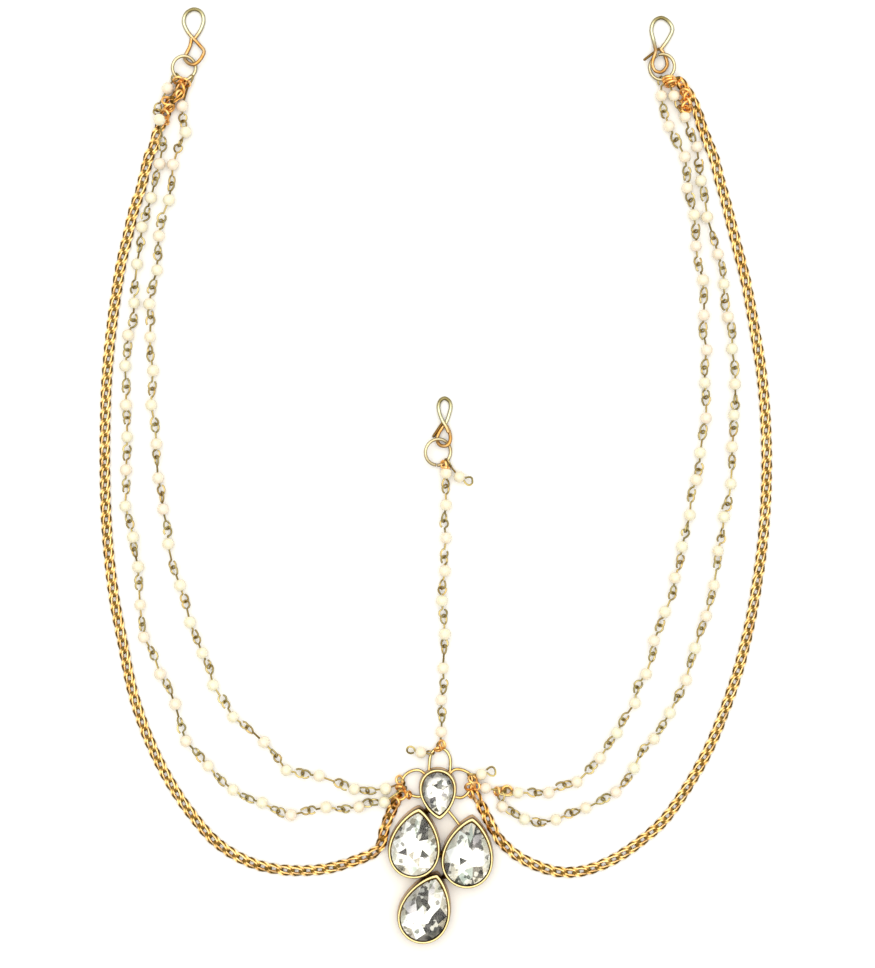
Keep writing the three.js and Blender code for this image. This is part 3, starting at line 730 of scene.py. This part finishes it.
# A drilled pearl from pole to pole. Columns: distance from the drill axis and place along
# it, both as shares of the pearl's radius.
PEARL_PROFILE = np.array([
    (0, -0.8), (0.2, -0.94), (0.64, -0.77), (0.95, -0.31),
    (0.95, 0.31), (0.64, 0.77), (0.2, 0.94), (0, 0.8),
])
PEARL_HOLE_SHADE = (PEARL_PROFILE[:, 0] == 0)[None]  # painted shade on each row: only round the drill holes
PEARL_SIDES = 11
PEARL_SPREAD = (0.96, 1.03)  # least and most of the full size
ASKEW = (0.3, 0.2, 1.0)  # a direction that no drill axis has


def drilled_pearls(middles, axes):
    """A pearl round each middle: the profile turned about its own drill axis."""
    count = len(middles)
    size = PEARL / 2 * rng.uniform(*PEARL_SPREAD, count)[:, None, None, None]
    across = unit(np.cross(axes, ASKEW))
    other = np.cross(axes, across)
    turn = turns(PEARL_SIDES)[:, None]
    out, place = PEARL_PROFILE.T
    circle = np.cos(turn) * across[:, None, None] + np.sin(turn) * other[:, None, None]
    grid = out[:, None, None] * circle + place[:, None, None] * axes[:, None, None]
    return middles[:, None, None] + size * grid


def eye_pins(middles, joints, seats, rolls):
    """Half a pin from the middle of each pearl: straight out to its eye, then round it.

    The eye is an egg shape about the point a seat's length short of the joint: cos(a) ahead
    and sin(a) (1 + e cos(a)) aside. Its plane holds the pin's direction and is turned by the
    roll about it, from lying flat to standing up. Some ends stand out loose. Nothing of it
    goes under the surface.
    """
    ahead = unit(joints - middles)
    level = unit(np.cross((0, 0, 1), ahead))
    upright = np.cross(ahead, level)
    rolls = rolls[:, None]
    normal = np.cos(rolls) * upright + np.sin(rolls) * level
    beside = np.cross(normal, ahead)
    centre = joints - ahead * seats[:, None]
    count = len(middles)
    each = (count, 1, 1)
    long, wide, egg = (rng.uniform(*span, each) for span in (EYE_LONG, EYE_WIDE, EYE_EGG))
    loose = rng.choice((0, 0, 0, LOOSE_END), each) * np.linspace(0, 1, EYE_STEPS)[:, None] ** 6
    close = rng.uniform(*EYE_CLOSE, count)
    angle = np.radians(np.linspace(np.full(count, EYE_START), close, EYE_STEPS, axis=1))[..., None]
    reach = 1 + (long - 1) * (angle < 2 * np.pi)
    out = np.cos(angle) * reach * ahead[:, None]
    aside = np.sin(angle) * (1 + egg * np.cos(angle)) * wide * beside[:, None]
    eye = centre[:, None] + EYE_RADIUS * (1 + loose) * (out + aside)
    bend = centre - ahead * (EYE_RADIUS + 0.15 * PIN_WIRE)
    paths = np.concatenate([middles[:, None], bend[:, None], eye], 1)
    paths[..., 2] = np.maximum(paths[..., 2], PIN_WIRE / 2)
    return wire(paths, PIN_WIRE / 2, up=normal[:, None], sides=PIN_SIDES, end=CUT)


# How dark each row of half a pin is: its stem, then its eye, with painted shade most where
# the next one crosses it, by 0.5 cos(a)^4.
EYE_TURN = np.radians(np.linspace(EYE_START, np.mean(EYE_CLOSE), EYE_STEPS))
CROSSING_SHADE = 0.5 * np.clip(np.cos(EYE_TURN), 0, 1) ** 4
PIN_DARKENING = np.concatenate([[0.45, 0.45, 0.4], CROSSING_SHADE, [0]])[None]


def pearl_string(place):
    """Pearls and the joints between their pins' eyes.

    A joint lies about halfway between two pearls, a little to one side. The two eyes that meet
    there stand about square to each other.
    """
    rows = STRINGS[place]
    middles = places(rows["pearls"], ON_SURFACE)
    gaps = len(middles) - 1
    share = rng.uniform(*JOINT_SHARE, gaps)[:, None]
    joints = middles[:-1] * (1 - share) + middles[1:] * share
    joints[:, :2] += rng.normal(0, JOINT_ASIDE, (gaps, 2))
    joints[:, 2] = JOINT_HEIGHT + rng.uniform(0, JOINT_LIFT, gaps)
    for number, joint in rows.get("by", {}).items():
        joints[number] = np.array(joint) * MM
    ends = [np.array([rows[end]]) * MM for end in ("head", "foot")]
    joints = np.concatenate([ends[0], joints, ends[1]])
    lean = rng.choice((-1, 1), gaps + 2)
    roll = lean * np.radians(rng.uniform(*EYE_ROLL, gaps + 2))
    turned = roll - lean * np.radians(rng.uniform(*EYE_CROSS, gaps + 2))
    swap = rng.random(gaps + 2) < 0.5
    roll, turned = np.where(swap, turned, roll), np.where(swap, roll, turned)
    seats = np.full(gaps + 2, ON_WIRE)
    seats[[0, -1]] = ON_RING
    pins = Shells()
    warm = rng.uniform(0.2, 0.6, (2, gaps + 1))
    back = eye_pins(middles, joints[:-1], seats[:-1], turned[:-1])
    front = eye_pins(middles, joints[1:], seats[1:], roll[1:])
    pins.add(back, recess=PIN_DARKENING, warm=warm[0])
    pins.add(front, recess=PIN_DARKENING, warm=warm[1])
    pins.make(place + "_pins", PIN_GOLD, "pale_gold", place + "_pearl_strand")
    grid = drilled_pearls(middles, unit(joints[1:] - joints[:-1]))
    pearls = Shells().add(grid, recess=PEARL_HOLE_SHADE, warm=rng.random(gaps + 1))
    pearls.make(place + "_pearls", PEARL_LUSTRE, "pearl", place + "_pearl_strand")


for place in STRINGS:
    pearl_string(place)

TAIL_ROLL, OPEN_EYE_ROLL = np.radians([70.0]), np.radians([15.0])


def spare_pearl(place):
    """A pearl left over at a joint, on a pin whose far eye is open."""
    rows = TAILS[place]
    middle = places([rows["pearl"]], ON_SURFACE)
    hook = np.array([rows["hook"]]) * MM
    far = places([rows["eye"]], ON_SURFACE)
    seats = np.array([ON_RING])
    pins = Shells()
    pins.add(eye_pins(middle, hook, seats, TAIL_ROLL), recess=PIN_DARKENING, warm=0.5)
    pins.add(eye_pins(middle, far, 0 * seats, OPEN_EYE_ROLL), recess=0.3, warm=0.3)
    pins.make(place + "_tail_pin", PIN_GOLD, "pale_gold", place + "_tail")
    grid = drilled_pearls(middle, unit(far - hook))
    pearls = Shells().add(grid, recess=PEARL_HOLE_SHADE, warm=0.5)
    pearls.make(place + "_tail_pearl", PEARL_LUSTRE, "pearl", place + "_tail")


for place in TAILS:
    spare_pearl(place)

# ---- Pendant ----

CUP_TAPER = 0.25 * MM  # how far the wall leans in, from foot to rim
CUP_WALL = 0.9 * MM
CUP_BEAD = 0.4 * MM  # height of the rounded rim
CUP_FOOT = 0.3 * MM  # the slanted edge under the wall
BEAD_STEPS = 9
STONE_GAP = 0.18 * MM
PEAR_STEPS = 72
LOOP_STEPS, STRUT_STEPS = 40, 16
DROP_SIDES, DROP_RINGS = 14, 6
DROP_FOOT, DROP_RISE = 1.6, 1.3  # millimetres: a drop's straight side, and its dome


def pear(share, angle, size):
    """A point of the pear: angle clockwise from its tip in radians, share of its full width.

    It lies sin(t) sin(t/2)^n across and cos(t) along, measured from the widest place.
    """
    x, y, turn, width, long = size[:5]
    n = PEAR_SHOULDER
    widest = -n / (2 + n)
    t = np.arccos(widest)
    broadest = np.sin(t) * np.sin(t / 2) ** n
    t = np.mod(angle, 2 * np.pi)
    across = share * np.sin(t) * np.abs(np.sin(t / 2)) ** n / broadest * width / 2
    along = share * (np.cos(t) - widest) * long / 2
    turn = np.radians(turn)
    return np.stack([x + across * np.cos(turn) + along * np.sin(turn),
                     y - across * np.sin(turn) + along * np.cos(turn)], -1) * MM


def pear_tube(profile, size):
    """A profile carried round the pear: profile row, place round it, xyz.

    The profile's columns are the inset from the outline and the height, in metres.
    """
    half = size[3] * MM / 2
    plan = pear(1 - profile[:, :1] / half, turns(PEAR_STEPS), size)
    high = np.broadcast_to(profile[:, 1:, None], (*plan.shape[:2], 1))
    return np.concatenate([plan, high], -1)[None]


def bezel_cups():
    """Cups of strip metal: an outer wall that leans in, a round bead for a rim, a flat floor.

    Each row of the profile has its own painted shade and warmth: painted shade at the foot,
    under the rim, inside and down both sides of the bead, and a painted highlight along its top.
    """
    bead = np.linspace(0, np.pi, BEAD_STEPS)
    wide = (CUP_WALL - CUP_TAPER) / 2
    # painted shade down both sides of the bead, none along its top
    crest = 0.75 * np.abs(np.cos(bead)) ** 3
    painted_row_shade = np.concatenate([[1, 0.9, 0.4, 0.3, 0.8], crest, [0.7, 0.3, 0.2]])
    warm = np.concatenate([[1, 1, 1, 1, 0.6], np.full(BEAD_STEPS, 0.15), [0.6, 1, 1]])
    shells = Shells()
    for size in CUPS.values():
        high, half = size[5] * MM, size[3] * MM / 2
        rim = np.stack([CUP_TAPER + wide * (1 - np.cos(bead)),
                        high - CUP_BEAD * (1 - np.sin(bead))], 1)
        outer = np.array([(half, 0), (CUP_FOOT, 0), (0, CUP_FOOT), (CUP_TAPER * 0.55, high * 0.6),
                          (CUP_TAPER * 0.85, high - CUP_BEAD * 1.6)])
        inner = np.array([(CUP_WALL, high * 0.75), (CUP_WALL, CUP_FLOOR), (half, CUP_FLOOR)])
        grid = pear_tube(np.concatenate([outer, rim, inner]), size)
        shells.add(grid[:, ::-1], recess=painted_row_shade[::-1][None], warm=warm[::-1][None])
    shells.make("pendant_bezels", BEZEL_GOLD, "bezel_gold", "pendant_setting", shade=0.25)


def pendant_wires():
    """The two side loops, the bail and the strut between the settings, and the solder drops.

    A drop is a low post with a dome; its radius swells by 0.12 sin(3 t) + 0.07 sin(5 t) of itself.
    """
    shells = Shells()
    for rows, warm in ((SIDE_LOOPS["left"], 0.6), (SIDE_LOOPS["right"], 0.7), (BAIL, 0.15)):
        path = smooth(places(rows, LOOP_HEIGHT), LOOP_STEPS)
        shells.add(wire(path, LOOP_WIRE / 2, sides=THICK_WIRE_SIDES), recess=0.12, warm=warm)
    path = smooth(places(STRUT, LOOP_HEIGHT), STRUT_STEPS)
    shells.add(wire(path, STRUT_WIRE / 2, sides=THICK_WIRE_SIDES), warm=0.5)
    turn = turns(DROP_SIDES)
    rise = np.linspace(0, np.pi / 2, DROP_RINGS)
    for x, y, radius in SOLDER:
        lump = 1 + 0.12 * np.sin(3 * turn + x) + 0.07 * np.sin(5 * turn + y)
        out = np.concatenate([[0, 1], np.cos(rise)])[:, None] * lump * radius
        high = np.concatenate([[0, 0], DROP_FOOT + DROP_RISE * np.sin(rise)])[:, None] + 0 * turn
        grid = np.stack([x + out * np.cos(turn), y + out * np.sin(turn), high], -1) * MM
        # the solder drops are darker, in painted shade between the cups
        shells.add(grid[None], recess=0.6, warm=0.6)
    shells.make("pendant_wires", BEZEL_GOLD, "bezel_gold", "pendant_setting")


bezel_cups()
pendant_wires()

# ---- Stones ----

# Levels of a cut stone, measured up from its cup's rim. Shares are of the girdle's width.
GIRDLE_LOW, GIRDLE_HIGH = -0.45 * MM, -0.2 * MM
MID_SHARE, MID_RISE = 0.83, 0.12 * MM
TABLE_SHARE, TABLE_RISE = 0.62, 0.45 * MM
# The pavilion's corners: share of the girdle and drop under it, as a share of the cup's width.
PAVILION_MID, MID_DROP = 0.70, 0.015
PAVILION_INNER, INNER_DROP = 0.36, 0.029
CULET_DROP = 0.034
SECTORS = 8
GIRDLE_CORNERS = 4 * SECTORS

# How bright the painted reflection on the foil behind each pavilion facet is, 0 to 9, from the
# tip clockwise: eight facets round the culet, eight between, eight kites and sixteen at the
# girdle.
FOIL_REFLECTIONS = {
    "top": ("99805599", "99985169", "94988988", "9978878688889889"),
    "left": ("99986899", "59168398", "71887899", "9279987786898899"),
    "right": ("99978199", "39969998", "66856798", "9189898448298989"),
    "bottom": ("29899970", "89109921", "79228971", "9889744578899896"),
}
REFLECTION_TONES = (0, 0.3, 0.55, 0.8, 0.9, 1)  # shares of that scale, and how light the painted reflection is there
REFLECTION_LEVELS = (0.006, 0.03, 0.13, 0.7, 0.93, 1.0)
# tints of the painted reflection, given by chance to grey facets
REFLECTION_TINTS = np.array(((0.78, 1, 0.9), (1, 1, 1), (0.94, 0.88, 1), (1, 0.9, 0.72)))
# painted reflection on the girdle facets: darker and cream
CREAM_REFLECTION = np.array((0.66, 0.63, 0.55))
GLITTER = (0, 0.3, 0.8, 1, 1)  # strength of the painted glints on each eight facets, from the culet outwards


def facet_corners(girdle, inner, middle):
    """Corner numbers of the facets of half a stone, one array for each kind.

    Each argument is the first number of a ring of corners: four to a sector at the girdle,
    one to a sector in the inner ring, and one between each two of those in the middle ring.
    """
    sector = np.arange(SECTORS)
    before, after = (sector - 1) % SECTORS, (sector + 1) % SECTORS
    edge = girdle + 4 * sector
    stars = np.stack([inner + sector, middle + sector, inner + after], 1)
    kites = np.stack([inner + sector, middle + before, edge, middle + sector], 1)
    low = np.stack([middle + sector, edge, edge + 1, edge + 2], 1)
    high = np.stack([middle + sector, edge + 2, edge + 3, girdle + 4 * after], 1)
    return stars, kites, np.stack([low, high], 1).reshape(-1, 4)


def foil_reflections(place):
    """Painted reflection on each foil facet: its tone, tinted by chance where grey, cream at the
    girdle.

    The last column is the strength of its painted glitter: not at all round the culet, most at the
    girdle.
    """
    tones = np.array([int(digit) for row in FOIL_REFLECTIONS[place] for digit in row]) / 9
    level = np.interp(tones, REFLECTION_TONES, REFLECTION_LEVELS)[:, None]
    tint = REFLECTION_TINTS[rng.integers(0, len(REFLECTION_TINTS), len(tones))]
    strength = np.clip(2 * (1 - tones), 0, 0.8)[:, None]
    colours = level * (1 - strength * (1 - tint))
    colours[-2 * SECTORS:] *= CREAM_REFLECTION
    return np.column_stack([colours, np.repeat(GLITTER, SECTORS)])


def corner_lists(*kinds):
    """The corner numbers of all the faces of these kinds, one list to a face."""
    return [face for kind in kinds for face in kind.tolist()]


def cut_stone(place):
    """A pear-cut stone: a table, a crown and a pavilion of flat facets that meet at a girdle.

    The crown is clear. Each pavilion facet is foil with its own painted reflection, seen through
    it.
    """
    size = CUPS[place]
    width, rim = size[3] * MM, size[5] * MM
    outline = 1 - (CUP_WALL + STONE_GAP) / (width / 2)
    sector = np.arange(SECTORS)
    ahead = (sector + 1) % SECTORS
    around = np.radians(360 / GIRDLE_CORNERS * np.arange(GIRDLE_CORNERS))
    on_sector = np.radians(360 / SECTORS * sector)
    between = on_sector + np.radians(180 / SECTORS)
    rings = [  # angles, share of the girdle, height over the rim
        (around, 1, GIRDLE_HIGH),
        (on_sector, TABLE_SHARE, TABLE_RISE),
        (between, MID_SHARE, MID_RISE),
        (around, 1, GIRDLE_LOW),
        (on_sector, PAVILION_INNER, GIRDLE_LOW - INNER_DROP * width),
        (between, PAVILION_MID, GIRDLE_LOW - MID_DROP * width),
        (np.zeros(1), 0, GIRDLE_LOW - CULET_DROP * width),
    ]
    starts = np.cumsum([0] + [len(angles) for angles, share, height in rings])[:-1]
    high_girdle, table, crown_middle, low_girdle, inner, middle, culet = starts
    corners = np.concatenate([np.column_stack([pear(share * outline, angles, size),
                                               np.full(len(angles), rim + height)])
                              for angles, share, height in rings])
    crown = facet_corners(high_girdle, table, crown_middle)
    pavilion = facet_corners(low_girdle, inner, middle)
    k = np.arange(GIRDLE_CORNERS)
    after = (k + 1) % GIRDLE_CORNERS
    band = np.stack([high_girdle + k, low_girdle + k, low_girdle + after, high_girdle + after], 1)
    fans = np.stack([np.full(SECTORS, culet), inner + sector, inner + ahead], 1)
    clear_faces = corner_lists((table + sector)[None], *crown, band)
    foil_faces = corner_lists(fans, *pavilion)
    mesh = bpy.data.meshes.new("pear_stone_" + place)
    mesh.from_pydata(corners, [], clear_faces + foil_faces)
    colours = np.ones((len(clear_faces) + len(foil_faces), 4), np.float32)
    colours[len(clear_faces):] = foil_reflections(place)
    mesh.attributes.new("foil", "FLOAT_COLOR", "FACE").data.foreach_set("color", colours.ravel())
    settle(mesh.name, mesh, [CLEAR_GLASS, SILVER_FOIL], "stone_" + place)
    is_foil = np.repeat((0, 1), (len(clear_faces), len(foil_faces)))
    mesh.polygons.foreach_set("material_index", is_foil.astype(np.int32))
    weld(mesh, merge=False)


def clear_glass():
    """Polished colourless glass with a few fine scratches."""
    constants = {"IOR": 1.52, "Transmission Weight": 1.0, "Specular IOR Level": 0.2}
    material, tree, shader = finish("clear_glass", constants)
    scratches = noise(tree, 3000, 5.0, 0.7)
    tints = ((0.3, (1.0, 0.99, 0.96)), (0.7, (0.97, 1.0, 0.99)))
    pattern(tree, shader, {
        "Roughness": rescale(tree, scratches, 0.0, 0.06, 0.45, 0.8),
        "Base Color": ramp(tree, noise(tree, 150), tints),
    })
    return material


def silver_foil():
    """The mirror coat on the back of a stone, satin with age, with stains and small painted dark
    glints.

    Glints are the darkest cells of a mosaic, each about a millimetre across. Its lighter cells
    are painted sparks, dim or bright, which break up the dark facets, whose tones are painted
    reflections too.
    """
    material, tree, shader = finish("silver_foil", {"Metallic": 1.0})
    stain = noise(tree, 900, 4.0)
    facet = add_node(tree, "Attribute", attribute_name="foil")
    spot = add_node(tree, "TexCoord").outputs["Object"]
    mosaic = add_node(tree, "TexVoronoi", {"Vector": spot, "Scale": 950.0}).outputs["Color"]
    veil = ramp(tree, stain, ((0.3, (0.84, 0.83, 0.79)), (0.52, (1, 1, 1))))
    glints = ((0.2, (0.12, 0.12, 0.1)), (0.26, (0.75, 0.73, 0.66)), (0.32, (1, 1, 1)))
    sparks = ((0.5, (0, 0, 0)), (0.53, (0.05, 0.05, 0.05)), (0.74, (0.06, 0.06, 0.05)),
              (0.76, (0.5, 0.5, 0.47)))
    tone = mix(tree, 1.0, facet.outputs["Color"], ramp(tree, mosaic, sparks), "SCREEN")
    tone = mix(tree, 1.0, tone, veil, "MULTIPLY")
    tone = mix(tree, facet.outputs["Alpha"], tone, ramp(tree, mosaic, glints), "MULTIPLY")
    pattern(tree, shader, {"Base Color": tone, "Roughness": rescale(tree, stain, 0.22, 0.42)})
    return material


CLEAR_GLASS = clear_glass()
SILVER_FOIL = silver_foil()
for place in CUPS:
    cut_stone(place)

# ---- Surface, light and camera ----

SURFACE_HALF = 4.0
SURFACE_DROP = 0.02 * MM  # under the lowest point of the piece
ROOM_RISE = (0.18, 0.18, 0.35)  # how fast the room brightens along X, Y and Z
ROOM_LEVEL = 0.35
ROOM_STRENGTH = 1.08
LAMP_PLACE = Vector((-0.1, 0.15, 1.4))
LAMP_WIDTH = 2.4
LAMP_POWER = 22.5
VIEW_CENTRE = (0.41 * MM, -2.62 * MM)
VIEW_HEIGHT = 261.6 * MM  # what the camera takes in, at the pearls' middles


def pale_surface():
    """A plain white surface, with the faintest unevenness in its tone."""
    mesh = bpy.data.meshes.new("surface")
    corners = [(x * SURFACE_HALF, y * SURFACE_HALF, -SURFACE_DROP)
               for x, y in ((-1, -1), (1, -1), (1, 1), (-1, 1))]
    mesh.from_pydata(corners, [], [(0, 1, 2, 3)])
    constants = {"Roughness": 0.9, "Specular IOR Level": 0.1}
    material, tree, shader = finish("pale_surface", constants)
    tones = ((0.3, (0.93, 0.925, 0.915)), (0.7, (0.95, 0.945, 0.94)))
    pattern(tree, shader, {"Base Color": ramp(tree, noise(tree, 6, 2.0), tones)})
    mesh.materials.append(material)
    put("surface", mesh)


def studio_light():
    """A white room, brighter overhead and to the back right, and one large soft lamp overhead."""
    world = bpy.data.worlds.new("room")
    scene.world = world
    world.use_nodes = True
    tree = world.node_tree
    direction = add_node(tree, "TexCoord").outputs["Generated"]
    level = add_node(tree, "VectorMath", {0: direction, 1: ROOM_RISE}, operation="DOT_PRODUCT")
    level = math(tree, "ADD", level.outputs["Value"], ROOM_LEVEL)
    glow = ((0.1, (0.38, 0.37, 0.34)), (0.5, (0.6, 0.62, 0.62)), (0.7, (0.76, 0.8, 0.83)))
    background = tree.nodes["Background"]
    tree.links.new(ramp(tree, level, glow), background.inputs["Color"])
    background.inputs["Strength"].default_value = ROOM_STRENGTH
    lamp = bpy.data.lights.new("soft_lamp", "AREA")
    lamp.shape = "DISK"
    lamp.size = LAMP_WIDTH
    lamp.energy = LAMP_POWER
    lamp.color = (1.0, 0.92, 0.78)
    item = put("soft_lamp", lamp)
    item.location = LAMP_PLACE
    item.rotation_euler = (-LAMP_PLACE).to_track_quat("-Z", "Y").to_euler()


def overhead_camera():
    """Straight above the middle, as far away as a long lens needs to take in the whole piece."""
    camera = bpy.data.cameras.new("camera")
    camera.sensor_width = 36
    camera.lens = 100
    away = VIEW_HEIGHT * camera.lens / camera.sensor_width
    item = put("camera", camera)
    item.location = (*VIEW_CENTRE, ON_SURFACE + away)
    bpy.context.scene.camera = item


pale_surface()
studio_light()
overhead_camera()
scene.view_settings.view_transform = "Standard"

bpy.context.view_layer.update()
